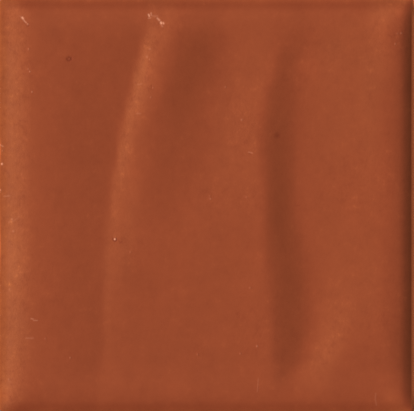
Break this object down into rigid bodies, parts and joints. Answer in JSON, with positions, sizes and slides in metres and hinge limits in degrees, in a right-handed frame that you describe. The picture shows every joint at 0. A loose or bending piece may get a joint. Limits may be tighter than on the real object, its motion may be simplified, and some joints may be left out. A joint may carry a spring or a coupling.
{
  "type": "ceramic floor tile",
  "caption": "Square glazed terracotta tile with cushioned edges, a softly folded hand-pressed face and a ribbed back.",
  "frame": {"origin": "middle of the back, on the plane of the ribs' lands", "axes": "+Z out of the glazed face, +X to the right and +Y up the face as it is looked at; the two folds run mostly along Y"},
  "size_m": [0.1, 0.1, 0.0091],
  "materials": {
    "glaze": "satin terracotta glaze on a fired clay body"
  },
  "bodies": {
    "root": {"tile": "glaze"}
  },
  "joints": []
}
